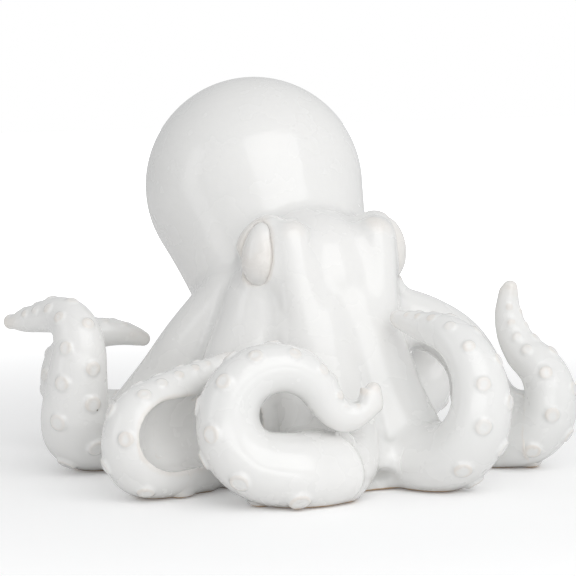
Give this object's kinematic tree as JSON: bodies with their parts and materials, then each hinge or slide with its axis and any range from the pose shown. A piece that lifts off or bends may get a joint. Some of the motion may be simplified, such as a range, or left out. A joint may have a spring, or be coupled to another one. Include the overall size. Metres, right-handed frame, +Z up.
{
  "type": "octopus figurine",
  "caption": "Glazed ceramic octopus with a rounded mantle, bulging eyes and curled arms lined with suckers, a table-top ornament that stands on its flat foot.",
  "frame": {"origin": "on the table under the middle of the head", "axes": "+Z up, the face looks along -Y, +X to the right as seen from the front"},
  "size_m": [0.3099, 0.3188, 0.224],
  "materials": {
    "glaze": "gloss"
  },
  "bodies": {
    "root": {"body": "glaze", "arm_front": "glaze", "arm_right_front": "glaze", "arm_right": "glaze", "arm_right_back": "glaze", "arm_back": "glaze", "arm_left_back": "glaze", "arm_left": "glaze", "arm_left_front": "glaze", "eye_left": "glaze", "eye_right": "glaze"}
  },
  "joints": []
}
